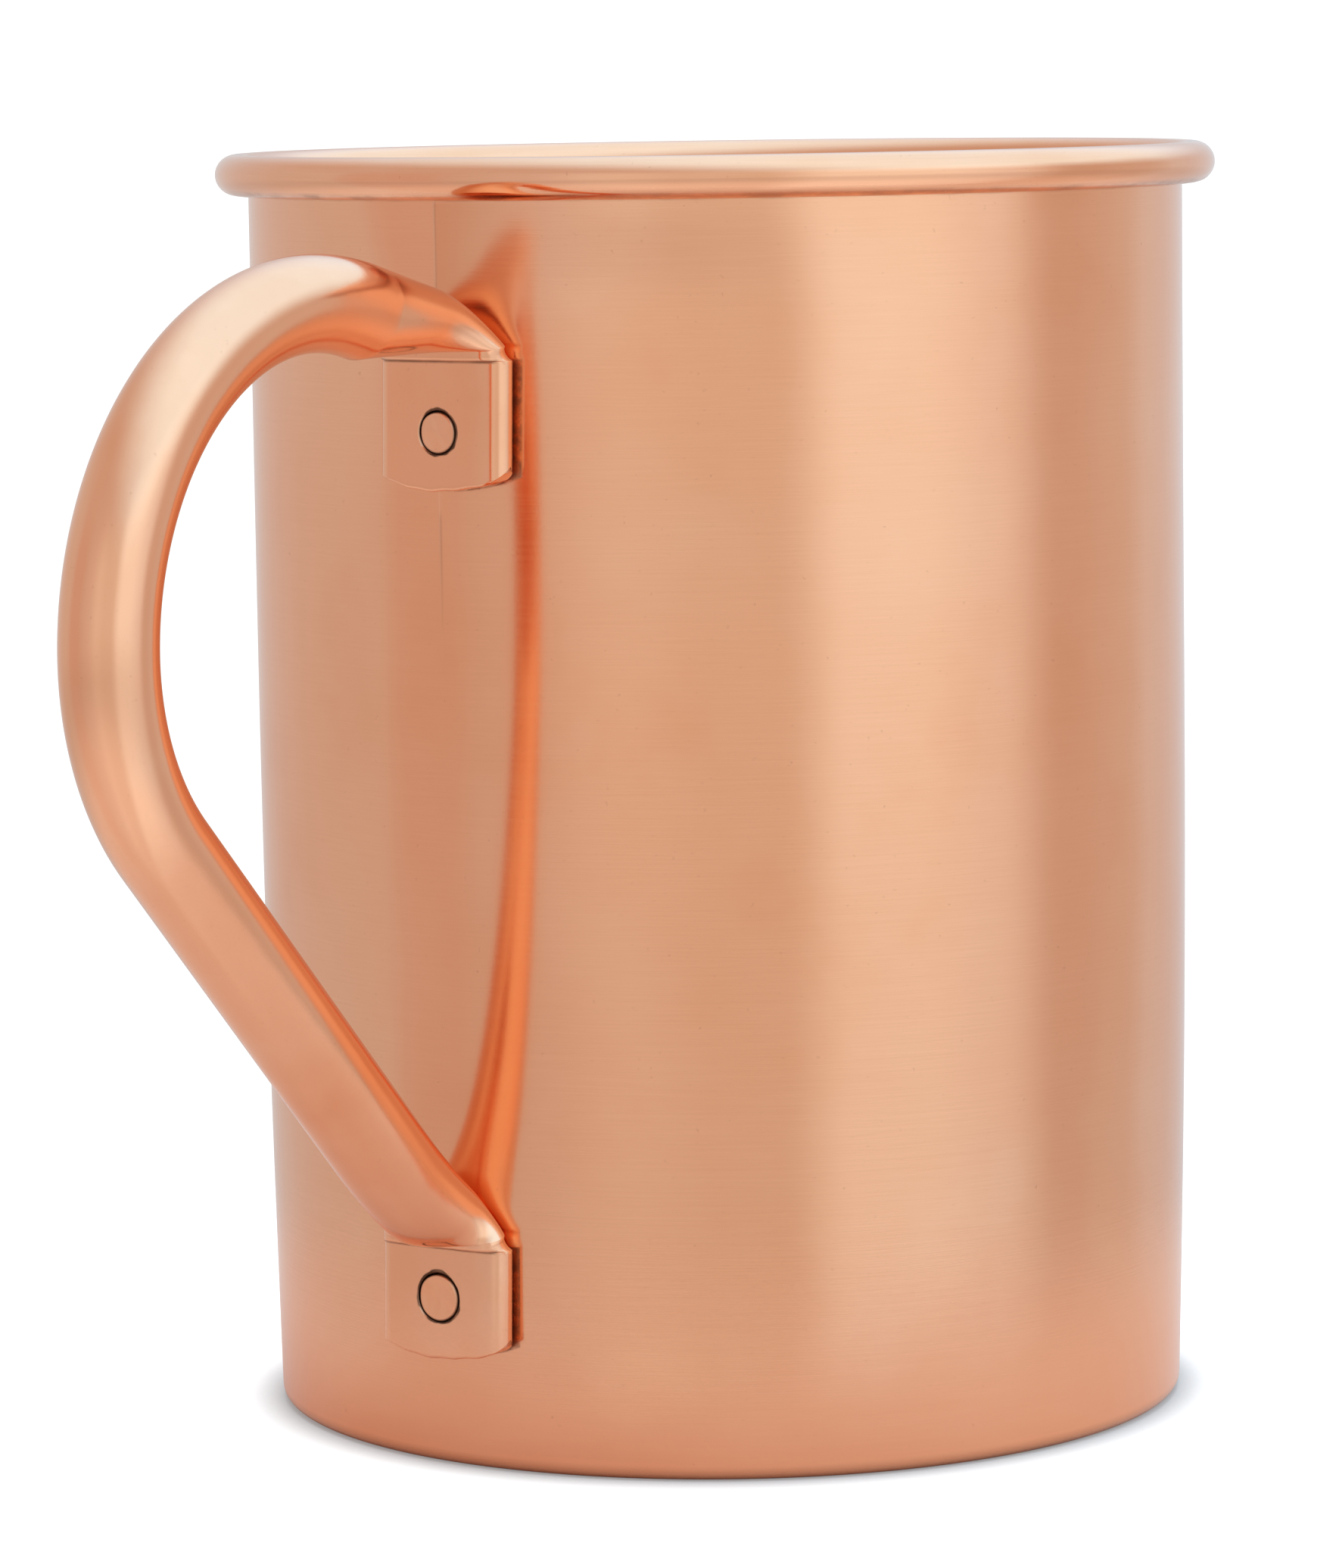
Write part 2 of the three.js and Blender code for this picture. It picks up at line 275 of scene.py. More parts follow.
def turned(profile, angles, offset):
    """A closed (radius, height) outline turned about Z. The offset moves each point in or out."""
    rings = []
    for angle in angles:
        ring = []
        for radius, height in profile:
            reach = radius + offset(angle, radius, height)
            ring.append((reach * math.cos(angle), reach * math.sin(angle), height))
        rings.append(ring)
    return closed_grid(rings)


def with_poles(first, last, lines):
    """Faces round a solid of revolution: lines of points that all run from its first pole to its last."""
    vertices = [first, last] + [point for line in lines for point in line]
    length = len(lines[0])
    faces = []
    for i in range(len(lines)):
        a, b = 2 + i * length, 2 + (i + 1) % len(lines) * length
        faces.append((0, b, a))
        faces += [(a + j, b + j, b + j + 1, a + j + 1) for j in range(length - 1)]
        faces.append((a + length - 1, b + length - 1, 1))
    return vertices, faces


# ---------------------------------------------------------------- cup


def seam_distance(angle):
    """How far round the wall an angle is from the seam."""
    turn = (angle - seam_angle + math.pi) % (2 * math.pi) - math.pi
    return abs(turn) * wall_radius


def eased(value, low, high):
    """0 below low and 1 above high, with a smooth run between."""
    share = min(1.0, max(0.0, (value - low) / (high - low)))
    return share * share * (3 - 2 * share)


def seam_peak(angle, height):
    """How far the wall falls in beside the seam, as rolled sheet stays flatter near its brazed edges."""
    turn = abs((angle + math.pi) % (2 * math.pi) - math.pi)
    beside = 1 - math.exp(-((turn / peak_half_angle) ** 2))
    beside *= 1 - eased(turn, peak_half_angle, 3.2 * peak_half_angle)
    above_foot = eased(height, 2 * MM, 16 * MM)
    below_rim = eased(cup_height - height, 4 * MM, 12 * MM)
    return peak_fall * beside * above_foot * below_rim


def cup_surface(angle, radius, height):
    """Small unevenness of hand-finished sheet, and the seam's shallow groove."""
    wobble = 0.05 * MM * math.sin(2 * angle + 0.6) + 0.03 * MM * math.sin(3 * angle + 55 * height)
    wobble *= min(1, (rim_radius - radius) / (2 * MM)) if radius > wall_radius else 1
    wobble -= seam_peak(angle, height)
    groove = seam_depth * max(0, 1 - (seam_distance(angle) / (seam_width / 2)) ** 2)
    groove *= min(1, max(0, curl_underside - height) / MM)
    groove *= min(1, max(0, height - seam_start) / (20 * MM))
    outside = radius > wall_radius_at(height) - sheet / 2
    return wobble - (groove if outside else 0)


def make_cup_wall():
    """One sheet section, turned: from the foot's inner lip, up the outside, round the curl and back down."""
    corner = foot_radius - foot_edge
    lip = corner - foot_lip
    curl_height = cup_height - curl_radius
    curl_centre = wall_radius - sheet + curl_radius
    curl_end = math.pi - curl_sweep
    heights = np.linspace(foot_edge, curl_height, 46)
    outside = [Vector((wall_radius_at(z), z)) for z in heights]
    inside = [Vector((wall_radius_at(z) - sheet, z)) for z in heights[::-1]]
    profile = joined(
        [Vector((lip, 0))],
        arc((corner, foot_edge), foot_edge, -math.pi / 2, 0, 10),
        outside,
        arc((curl_centre, curl_height), curl_radius - sheet, math.pi, curl_end, 30),
        arc((curl_centre, curl_height), curl_radius, curl_end, math.pi, 48),
        inside,
        arc((corner, foot_edge), foot_edge - sheet, 0, -math.pi / 2, 6),
        [Vector((lip, sheet))],
    )
    sides = 288
    angles = {seam_angle + 2 * math.pi * side / sides for side in range(sides)}
    fine = seam_width / wall_radius / 6
    angles |= {seam_angle + fine * step for step in range(-4, 5) if step}
    vertices, faces = turned(profile, sorted(angles), cup_surface)
    return new_piece("copper_cup", vertices, faces, "cup_wall")


def make_base():
    """The disc let into the foot: flat on top, with soft edges and a dish underneath."""
    radius, thickness = disc_high.x, disc_high.z
    edge = 0.25 * MM
    dish, dish_share = 0.225 * MM, 0.86  # depth, and share of the radius: the mug stands on its foot
    under = [
        Vector((radius * share, dish * math.sqrt(max(0, 1 - (share / dish_share) ** 2))))
        for share in np.linspace(0, 0.97, 30)
    ]
    profile = joined(
        under,
        arc((radius - edge, edge), edge, -math.pi / 2, 0, 5),
        arc((radius - edge, thickness - edge), edge, 0, math.pi / 2, 5),
        [Vector((radius * share, thickness)) for share in np.linspace(0.9, 0, 12)],
    )
    sides = 192
    angles = [2 * math.pi * side / sides for side in range(sides)]
    lines = [[(p.x * math.cos(angle), p.x * math.sin(angle), p.y) for p in profile[1:-1]] for angle in angles]
    vertices, faces = with_poles((0, 0, profile[0].y), (0, 0, profile[-1].y), lines)
    return new_piece("copper_base", vertices, faces, "base_disc")


# ---------------------------------------------------------------- handle


class Path:
    """A run of points that can be asked for the place at a share of its length."""

    def __init__(self, points):
        self.points = points
        self.lengths = [0.0]
        for a, b in zip(points, points[1:]):
            self.lengths.append(self.lengths[-1] + (b - a).length)

    def at(self, share):
        reach = share * self.lengths[-1]
        x = np.interp(reach, self.lengths, [p.x for p in self.points])
        y = np.interp(reach, self.lengths, [p.y for p in self.points])
        return Vector((x, y))


def handle_plan():
    """The handle's stretches in its own plane, as points (distance from the axis, height).

    Each end has a tab that is pressed flat up to its fold. Its back then bends away from the wall over the
    bend's reach, and its front swells by a share of its own before it meets the round tube.
    """
    crown_height = cup_height - crown_drop - tube_radius - crown_radius
    crown_centre = Vector((wall_radius + crown_stand_off, crown_height))
    crown_end = math.pi / 2 + crown_approach
    crown_outwards = Vector((math.cos(crown_end), math.sin(crown_end)))
    outer_end = crown_centre + (crown_radius + tube_radius) * crown_outwards
    to_wall = outer_end.x - wall_radius - tab_seat
    crown_meets = Vector((wall_radius + tab_seat, outer_end.y - to_wall * math.tan(crown_approach)))

    heel_centre = Vector((crown_centre.x + crown_radius - heel_radius, crown_centre.y))
    lower = {
        "length": 10.4 * MM, "rivet_rise": 5.7 * MM, "rivet_size": 1,
        "bend_reach": 2.1 * MM, "fold_drop": 3 * MM, "swell": 1,
    }
    upper = {
        "length": 11.7 * MM, "rivet_rise": 5.3 * MM, "rivet_size": 0.87,
        "bend_reach": 5.3 * MM, "fold_drop": 0.1 * MM, "swell": 0,
    }
    leg_foot = lower_tab_rise + lower["length"] + lower["fold_drop"] + lower["bend_reach"]
    leg_meets = Vector((wall_radius_at(leg_foot) + tab_seat, leg_foot))
    to_heel = heel_centre - leg_meets
    lean = math.atan2(to_heel.x, to_heel.y) + math.asin((heel_radius - tube_radius) / to_heel.length)

    crown_run = to_wall / math.cos(crown_approach)
    upper.update(meets=crown_meets, lean=math.pi / 2 - crown_approach, run=crown_run)
    lower.update(meets=leg_meets, lean=lean, run=pressed_run)
    for end in (upper, lower):
        end["fold"] = end["meets"].y - end["bend_reach"] - end["fold_drop"]
    return {
        "crown_centre": crown_centre, "crown_end": crown_end,
        "heel_centre": heel_centre, "lean": lean, "upper": upper, "lower": lower,
    }


def side_at(plan, height):
    """How far to the side the handle leans at a height."""
    low, high = plan["lower"]["fold"], plan["upper"]["fold"]
    return handle_skew * ((height - low) / (high - low) - 0.5)


def pressed_end(end, steps=60):
    """Cross-sections of a pressed end, from its cut end, as (back, front, share of the tab left, trim)."""
    bend = end["bend_reach"] / math.tan(end["lean"] / 2)
    along = Vector((math.sin(end["lean"]), math.cos(end["lean"])))
    outwards = Vector((along.y, -along.x))
    meets, fold = end["meets"], end["fold"]
    bend_start = Vector((meets.x, meets.y - end["bend_reach"]))
    back = Path(joined(
        [Vector((meets.x, fold))],
        arc((bend_start.x + bend, bend_start.y), bend, math.pi, math.pi - end["lean"], 24),
        [meets + along * end["run"]],
    ))
    front_start = Vector((meets.x + tab_thickness, fold))
    shoulder = front_start + Vector((fold_shoulder, fold_shoulder))
    front_end = back.at(1) + outwards * 2 * tube_radius
    beside = front_end + along * (shoulder - front_end).dot(along)
    beside = ((shoulder + front_end) / 2).lerp(beside, end["swell"])

    sections = []
    for rise, trim in ((0, 0.3), (0.05, 0.16), (0.13, 0.06), (0.26, 0)):
        height = fold - end["length"] + rise * MM
        share = 1 - rise * MM / end["length"]
        sections.append((Vector((meets.x, height)), Vector((front_start.x, height)), share, trim * MM))
    for share in (0.96, 0.94, 0.91, 0.87, 0.8, 0.7, 0.6, 0.5, 0.4, 0.3, 0.2, 0.1, 0.03):
        height = fold - share * end["length"]
        sections.append((Vector((meets.x, height)), Vector((front_start.x, height)), share, 0))
    lip = [Vector((out, 0)) for out in (0, fold_shoulder * 0.2, fold_shoulder * 0.4)]
    lip += arc((fold_shoulder - fold_round, fold_round), fold_round, -math.pi / 2, 0, 6)
    lip_share = 0.09  # of the back's length
    for index, point in enumerate(lip):
        sections.append((back.at(lip_share * index / len(lip)), front_start + point, 0, 0))
    for step in range(steps + 1):
        share = (step / steps) ** 1.3
        front = shoulder * (1 - share) ** 2 + beside * 2 * share * (1 - share) + front_end * share**2
        sections.append((back.at(lip_share + (1 - lip_share) * share), front, 0, 0))
    return sections


def tube_bend(centre, bend_radius, start, end, steps):
    """Cross-sections round a bend, short of its end."""
    sections = []
    for step in range(steps):
        angle = start + (end - start) * step / steps
        out = Vector((math.cos(angle), math.sin(angle)))
        inner = centre + out * (bend_radius - tube_radius)
        outer = centre + out * (bend_radius + tube_radius)
        sections.append((inner, outer, 0, 0))
    return sections


def handle_sections(plan):
    """Every cross-section from the lower tab's end to the upper's, as (inner, outer, tab share, trim)."""
    lower = pressed_end(plan["lower"])
    upper = [(front, back, share, trim) for back, front, share, trim in pressed_end(plan["upper"])]
    heel_outwards = Vector((math.cos(-plan["lean"]), math.sin(-plan["lean"])))
    heel_start = plan["heel_centre"] + (heel_radius - tube_radius) * heel_outwards
    leg_inner, leg_outer = lower[-1][:2]
    leg_steps = 12
    step_run = (heel_start - leg_inner) / leg_steps
    leg = [(leg_inner + step_run * step, leg_outer + step_run * step, 0, 0) for step in range(1, leg_steps)]
    return [
        *lower,
        *leg,
        *tube_bend(plan["heel_centre"], heel_radius, -plan["lean"], 0, 32),
        *tube_bend(plan["crown_centre"], crown_radius, 0, plan["crown_end"], 72),
        *reversed(upper),
    ]


def section_ring(plan, section, inset, sides=72):
    """One ring of the handle's skin. Round where the tube is full, flat-faced where it is pressed."""
    inner, outer, tab_share, trim = section
    inset += trim
    half_depth = (outer - inner).length / 2
    pressed = min(1, max(0, (tube_radius - half_depth) / (tube_radius - tab_thickness / 2)))
    half_width = tube_radius + (tab_width / 2 - tube_radius) * pressed
    outwards = (outer - inner).normalized()
    middle = (inner + outer) / 2
    full_tab = 0.85  # the cut end's curve, corners and burr fade out by this share of the tab
    ring = []
    for side in range(sides):
        angle = 2 * math.pi * side / sides
        across = (half_width - inset) * math.cos(angle)
        depth = half_depth - inset
        into_edge = max(0, abs(across) - (half_width - inset - depth)) / depth
        face = math.copysign(math.sqrt(max(0, 1 - into_edge**2)), math.sin(angle))
        place = middle + outwards * depth * (math.sin(angle) * (1 - pressed) + face * pressed)
        height = place.y
        if tab_share > full_tab:
            end_share = (tab_share - full_tab) / (1 - full_tab)
            into_corner = max(0, abs(across) - (half_width - tab_corner)) / tab_corner
            corner = tab_corner * (1 - math.sqrt(max(0, 1 - into_corner**2)))
            burr = 0.05 * MM * (math.sin(across * 900) + math.sin(across * 2300 + place.y * 700))
            height += (tab_end_arc * (across / half_width) ** 2 + corner + burr) * end_share
        hug = tab_hug * (abs(across) / half_width) ** 5 * pressed**6
        ring.append((place.x - hug, across + side_at(plan, height), height))
    return ring


def rivet_place(plan, end):
    """A rivet's place as (side, height)."""
    height = end["fold"] - end["length"] + end["rivet_rise"]
    return side_at(plan, height), height


def drill(piece, side, height, front, hole):
    """Cuts a rivet hole through a tab, with a broken edge at its front."""
    broken = 0.12 * MM
    depth = 8 * MM
    profile = [(hole, front - depth), (hole, front - broken), (hole + 2 * broken, front + broken)]
    sides = 64
    vertices, faces = [], []
    for radius, x in profile:
        for i in range(sides):
            angle = 2 * math.pi * i / sides
            vertices.append((x, side + radius * math.cos(angle), height + radius * math.sin(angle)))
    for ring in range(len(profile) - 1):
        for i in range(sides):
            a, b = ring * sides + i, ring * sides + (i + 1) % sides
            faces.append((a, b, b + sides, a + sides))
    faces.append(tuple(reversed(range(sides))))
    faces.append(tuple(range((len(profile) - 1) * sides, len(profile) * sides)))
    mesh = bpy.data.meshes.new("cutter")
    mesh.from_pydata(vertices, [], faces)
    cutter = bpy.data.objects.new("cutter", mesh)
    bpy.context.collection.objects.link(cutter)
    cut = piece.modifiers.new("hole", "BOOLEAN")
    cut.operation = "DIFFERENCE"
    cut.solver = "EXACT"
    cut.object = cutter
    apply_modifiers(piece)
    bpy.data.objects.remove(cutter)
    bpy.data.meshes.remove(mesh)


def apply_modifiers(piece):
    graph = bpy.context.evaluated_depsgraph_get()
    done = bpy.data.meshes.new_from_object(piece.evaluated_get(graph))
    piece.modifiers.clear()
    old, piece.data = piece.data, done
    bpy.data.meshes.remove(old)


def make_handle(plan):
    sections = handle_sections(plan)
    outer = [section_ring(plan, section, 0) for section in sections]
    inner = [section_ring(plan, section, tube_wall) for section in reversed(sections)]
    vertices, faces = closed_grid(outer + inner)
    piece = new_piece("copper_handle", vertices, faces, "handle_tube")
    for end in (plan["upper"], plan["lower"]):
        side, height = rivet_place(plan, end)
        drill(piece, side, height, end["meets"].x + tab_thickness, hole_radius * end["rivet_size"])
    shade(piece, 40)
    return piece


def make_rivet(plan, end_name):
    """A head inside the cup, and a shank with an unevenly hammered, slightly dished end."""
    end = plan[end_name]
    side, height = rivet_place(plan, end)
    node = end_name + "_rivet"
    low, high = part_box(node)
    face = high.x
    head_face = low.x + rivet_head_thickness
    head_round = rivet_head_radius - rivet_head_flat
    shank = rivet_radius * end["rivet_size"]
    head_dome = 0.25 * MM
    round_edge = 0.3 * MM
    dish = 0.12 * MM
    hammered_depth = 0.6 * MM
    flare_turn = math.radians(50)  # the side where the hammered end leaves the widest gap
    head_radii = np.linspace(0, rivet_head_flat, 8)
    end_radii = np.linspace(shank - 2 * round_edge, 0, 7)
    profile = joined(
        [Vector((r, low.x + head_dome * (r / rivet_head_flat) ** 2)) for r in head_radii],
        arc((rivet_head_flat, head_face), head_round, -math.pi / 2, 0, 8)[1:],
        [Vector((shank, head_face))],
        arc((shank - round_edge, face - round_edge), round_edge, 0, math.pi / 2, 6),
        [Vector((r, face - dish * (1 - (r / shank) ** 2))) for r in end_radii],
    )
    sides = 72
    lines = []
    for i in range(sides):
        angle = 2 * math.pi * i / sides
        lump = 0.04 * MM * (math.sin(3 * angle + 1) + 0.6 * math.sin(5 * angle + 2))
        flare = 0.07 * MM * (1 - math.cos(angle - flare_turn))
        line = []
        for p in profile[1:-1]:
            hammered = p.x / shank if p.y > face - hammered_depth else 0
            deep = min(p.y + lump * hammered, face)
            reach = p.x + flare * hammered
            line.append((deep, side + reach * math.cos(angle), height + reach * math.sin(angle)))
        lines.append(line)
    vertices, faces = with_poles((profile[0].y, side, height), (profile[-1].y, side, height), lines)
    return new_piece("copper_" + node, vertices, faces, node, sharp=50)


# ---------------------------------------------------------------- materials


class NodeTree:
    """Short names for building a node tree."""

    def __init__(self, tree, place):
        self.tree = tree
        self.place = tree.nodes.new("ShaderNodeTexCoord").outputs[place]

    def link(self, output, target):
        self.tree.links.new(output, target)

    def camera_ray(self):
        """1 where the camera sees the surface itself, and 0 in reflections and bounced light."""
        return self.tree.nodes.new("ShaderNodeLightPath").outputs["Is Camera Ray"]

    def scaled(self, scale):
        node = self.tree.nodes.new("ShaderNodeMapping")
        node.inputs["Scale"].default_value = scale
        self.link(self.place, node.inputs["Vector"])
        return node.outputs["Vector"]

    def noise(self, scale, detail=3, roughness=0.55):
        """Noise with the given number of features per metre, or three numbers where it is stretched."""
        scales = scale if isinstance(scale, tuple) else (scale,) * 3
        node = self.tree.nodes.new("ShaderNodeTexNoise")
        node.inputs["Scale"].default_value = 1
        node.inputs["Detail"].default_value = detail
        node.inputs["Roughness"].default_value = roughness
        self.link(self.scaled(scales), node.inputs["Vector"])
        return node.outputs["Fac"]

    def spread(self, value, low, high, to_low, to_high):
        """Carries a range of values onto another, held at both ends."""
        node = self.tree.nodes.new("ShaderNodeMapRange")
        ends = {"From Min": low, "From Max": high, "To Min": to_low, "To Max": to_high}
        for socket, number in ends.items():
            node.inputs[socket].default_value = number
        self.link(value, node.inputs["Value"])
        return node.outputs["Result"]

    def smooth(self, value, low, high, to_low, to_high):
        """The same, with a soft start and end."""
        result = self.spread(value, low, high, to_low, to_high)
        result.node.interpolation_type = "SMOOTHSTEP"
        return result

    def dot(self, vector, fixed):
        node = self.tree.nodes.new("ShaderNodeVectorMath")
        node.operation = "DOT_PRODUCT"
        self.link(vector, node.inputs[0])
        node.inputs[1].default_value = fixed
        return node.outputs["Value"]

    def maths(self, operation, a, b):
        node = self.tree.nodes.new("ShaderNodeMath")
        node.operation = operation
        for socket, value in zip(node.inputs, (a, b)):
            if isinstance(value, (int, float)):
                socket.default_value = value
            else:
                self.link(value, socket)
        return node.outputs["Value"]

    def mix(self, share, a, b):
        node = self.tree.nodes.new("ShaderNodeMix")
        node.data_type = "RGBA"
        colours = [socket for socket in node.inputs if socket.type == "RGBA"]
        for socket, value in zip(colours, (a, b)):
            if isinstance(value, tuple):
                socket.default_value = (*value, 1)
            else:
                self.link(value, socket)
        self.link(share, node.inputs["Factor"])
        return [socket for socket in node.outputs if socket.type == "RGBA"][0]

    def add_scaled(self, colour, share, brightness):
        """Adds a share of a brightness to a colour."""
        node = self.tree.nodes.new("ShaderNodeVectorMath")
        node.operation = "MULTIPLY_ADD"
        node.inputs[1].default_value = brightness
        self.link(share, node.inputs[0])
        if isinstance(colour, tuple):
            node.inputs[2].default_value = colour
        else:
            self.link(colour, node.inputs[2])
        return node.outputs["Vector"]

    def scale(self, colour, share):
        node = self.tree.nodes.new("ShaderNodeVectorMath")
        node.operation = "SCALE"
        self.link(colour, node.inputs[0])
        self.link(share, node.inputs["Scale"])
        return node.outputs["Vector"]

    def axis(self, name):
        node = self.tree.nodes.new("ShaderNodeSeparateXYZ")
        self.link(self.place, node.inputs["Vector"])
        return node.outputs[name]

    def bump(self, height, distance, after=None):
        node = self.tree.nodes.new("ShaderNodeBump")
        node.inputs["Distance"].default_value = distance
        self.link(height, node.inputs["Height"])
        if after is not None:
            self.link(after, node.inputs["Normal"])
        return node.outputs["Normal"]


class Surface(NodeTree):
    """One material's nodes, around its Principled shader."""

    def __init__(self, name):
        self.material = bpy.data.materials.new(name)
        self.material.use_nodes = True
        super().__init__(self.material.node_tree, "Object")
        self.shader = self.tree.nodes["Principled BSDF"]

    def set(self, **values):
        for key, value in values.items():
            self.shader.inputs[key.replace("_", " ").title()].default_value = value

    def round_axis(self, side, height):
        """Distance from a line along X."""
        across = self.maths("SUBTRACT", self.axis("Y"), side)
        above = self.maths("SUBTRACT", self.axis("Z"), height)
        return self.length(across, above)

    def length(self, *values):
        total = None
        for value in values:
            square = self.maths("MULTIPLY", value, value)
            total = square if total is None else self.maths("ADD", total, square)
        return self.maths("SQRT", total, 0)

    def outside_tab(self, plan, end):
        """Distance out from the outline of a tab, seen along X."""
        low, high = plan["lower"]["fold"], plan["upper"]["fold"]
        lean = handle_skew / (high - low)
        leaning = self.maths("MULTIPLY", self.axis("Z"), lean)
        centre = self.maths("SUBTRACT", leaning, lean * low + handle_skew / 2)
        across = self.maths("ABSOLUTE", self.maths("SUBTRACT", self.axis("Y"), centre), 0)
        beside = self.maths("MAXIMUM", self.maths("SUBTRACT", across, tab_width / 2), 0)
        curve = self.maths("MULTIPLY", across, across)
        curve = self.maths("MULTIPLY", curve, tab_end_arc / (tab_width / 2) ** 2)
        cut = self.maths("ADD", curve, end["fold"] - end["length"])
        below = self.maths("MAXIMUM", self.maths("SUBTRACT", cut, self.axis("Z")), 0)
        above = self.maths("MAXIMUM", self.maths("SUBTRACT", self.axis("Z"), end["fold"]), 0)
        return self.length(beside, below, above)

    def soil_and_shade(self, mask, strength=1.0):
        """Darkens and dulls the surface where the mask is 1: used for the seam's dark line, and for painted
        shade.
        """
        share = self.maths("MULTIPLY", mask, strength)
        self.colour = self.mix(share, self.colour, GRIME_AND_SHADE)
        self.polish = self.maths("ADD", self.polish, self.maths("MULTIPLY", share, 0.4))


COPPER = (0.92, 0.46, 0.27)
COPPER_PALE = (0.93, 0.5, 0.31)
COPPER_DEEP = (0.88, 0.4, 0.215)
COPPER_DARK = (0.7, 0.27, 0.12)
WALL_REFLECTION_ORANGE = (0.9, 0.32, 0.13)
COPPER_PIT = (0.45, 0.17, 0.08)
GRIME_AND_SHADE = (0.05, 0.022, 0.012)


def copper(name, roughness, mottle=22, pits=2000):
    """Warm satin copper: soft blotches of tone, tiny dark pits and an uneven polish."""
    m = Surface(name)
    blotch = m.spread(m.noise(mottle, 4), 0.35, 0.65, 0, 1)
    tone = m.mix(blotch, COPPER_DEEP, COPPER_PALE)
    tone = m.mix(m.spread(m.noise(mottle * 5, 3), 0.3, 0.7, 0.15, 0.85), COPPER, tone)
    speck = m.spread(m.noise(pits, 2, 0.7), 0.68, 0.8, 0, 0.3)
    m.colour = m.mix(speck, tone, COPPER_PIT)
    m.polish = m.spread(m.noise(mottle * 3, 4), 0.3, 0.7, roughness * 0.88, roughness * 1.12)
    m.set(metallic=1.0, coat_weight=0.08, coat_roughness=0.3)
    return m


def finished(m):
    """Joins the material's colour and polish to its shader."""
    m.link(m.colour, m.shader.inputs["Base Color"])
    m.link(m.polish, m.shader.inputs["Roughness"])
    return m.material


def brush_round(m):
    """Stretches highlights up and down, as brushing round the cup does. Returns the brushing's height."""
    grain = m.noise((70, 70, 5200), 3, 0.6)
    fine = m.noise((160, 160, 14000), 2, 0.6)
    m.polish = m.maths("ADD", m.polish, m.spread(grain, 0.35, 0.65, -0.012, 0.012))
    m.shader.inputs["Anisotropic"].default_value = 0.6
    m.shader.inputs["Anisotropic Rotation"].default_value = 0.25
    tangent = m.tree.nodes.new("ShaderNodeTangent")
    tangent.direction_type = "RADIAL"
    tangent.axis = "Z"
    m.link(tangent.outputs["Tangent"], m.shader.inputs["Tangent"])
    return m.maths("ADD", grain, fine)


def cup_outside(m):
    """0 on walls that face the cup's axis, and 1 elsewhere."""
    facing = m.tree.nodes.new("ShaderNodeTexCoord").outputs["Normal"]
    outwards_x = m.maths("MULTIPLY", m.dot(facing, (1, 0, 0)), m.axis("X"))
    outwards_y = m.maths("MULTIPLY", m.dot(facing, (0, 1, 0)), m.axis("Y"))
    outwards = m.maths("ADD", outwards_x, outwards_y)
    return m.spread(outwards, -0.6 * wall_radius, -0.3 * wall_radius, 0, 1)


def dull_inside(m, height, outside):
    """The inside and the base are oxidised: duller and less like a mirror."""
    from_axis = m.length(m.axis("X"), m.axis("Y"))
    on_base = m.spread(from_axis, wall_radius - 5 * sheet, wall_radius - 4 * sheet, 1, 0)
    inside = m.maths("MAXIMUM", m.spread(outside, 0, 1, 1, 0), on_base)
    inside = m.maths("MULTIPLY", inside, m.smooth(height, 0.5 * cup_height, 0.97 * cup_height, 1, 0))
    m.polish = m.maths("ADD", m.polish, m.spread(inside, 0, 1, 0, 0.3))
    m.link(m.spread(inside, 0, 1, 1, 0.5), m.shader.inputs["Metallic"])


def mark_seam(m, height, front):
    """The seam's fine dark line, and the slightly deeper tone of the sheet on one side of it."""
    seam_side = wall_radius * math.sin(seam_angle)
    hidden_from, hidden_to = 87 * MM, 108 * MM  # the handle's upper end covers the seam here
    from_seam = m.maths("ABSOLUTE", m.maths("SUBTRACT", m.axis("Y"), seam_side), 0)
    seam = m.maths("MULTIPLY", m.spread(from_seam, 0, 0.25 * MM, 0.2, 0), front)
    above_crown = m.spread(height, hidden_to - 12 * MM, hidden_to, 0, 1)
    below_tab = m.spread(height, hidden_from - 11 * MM, hidden_from - 3 * MM, 0, 1)
    below_tab = m.maths("MULTIPLY", below_tab, m.spread(height, hidden_from, hidden_from + 1 * MM, 1, 0))
    below_rim = m.spread(height, curl_underside - 0.2 * curl_radius, curl_underside, 1, 0)
    shown = m.maths("MULTIPLY", m.maths("MAXIMUM", above_crown, below_tab), below_rim)
    m.soil_and_shade(m.maths("MULTIPLY", seam, shown))
    beside = m.smooth(m.axis("Y"), seam_side - 0.05 * MM, seam_side + 0.05 * MM, 0, 1)
    beside = m.maths("MULTIPLY", beside, m.spread(m.axis("Y"), 0, 9 * MM, 0.3, 0))
    beside = m.maths("MULTIPLY", beside, above_crown)
    beside = m.maths("MULTIPLY", beside, m.maths("MULTIPLY", front, below_rim))
    m.colour = m.mix(beside, m.colour, COPPER_DARK)


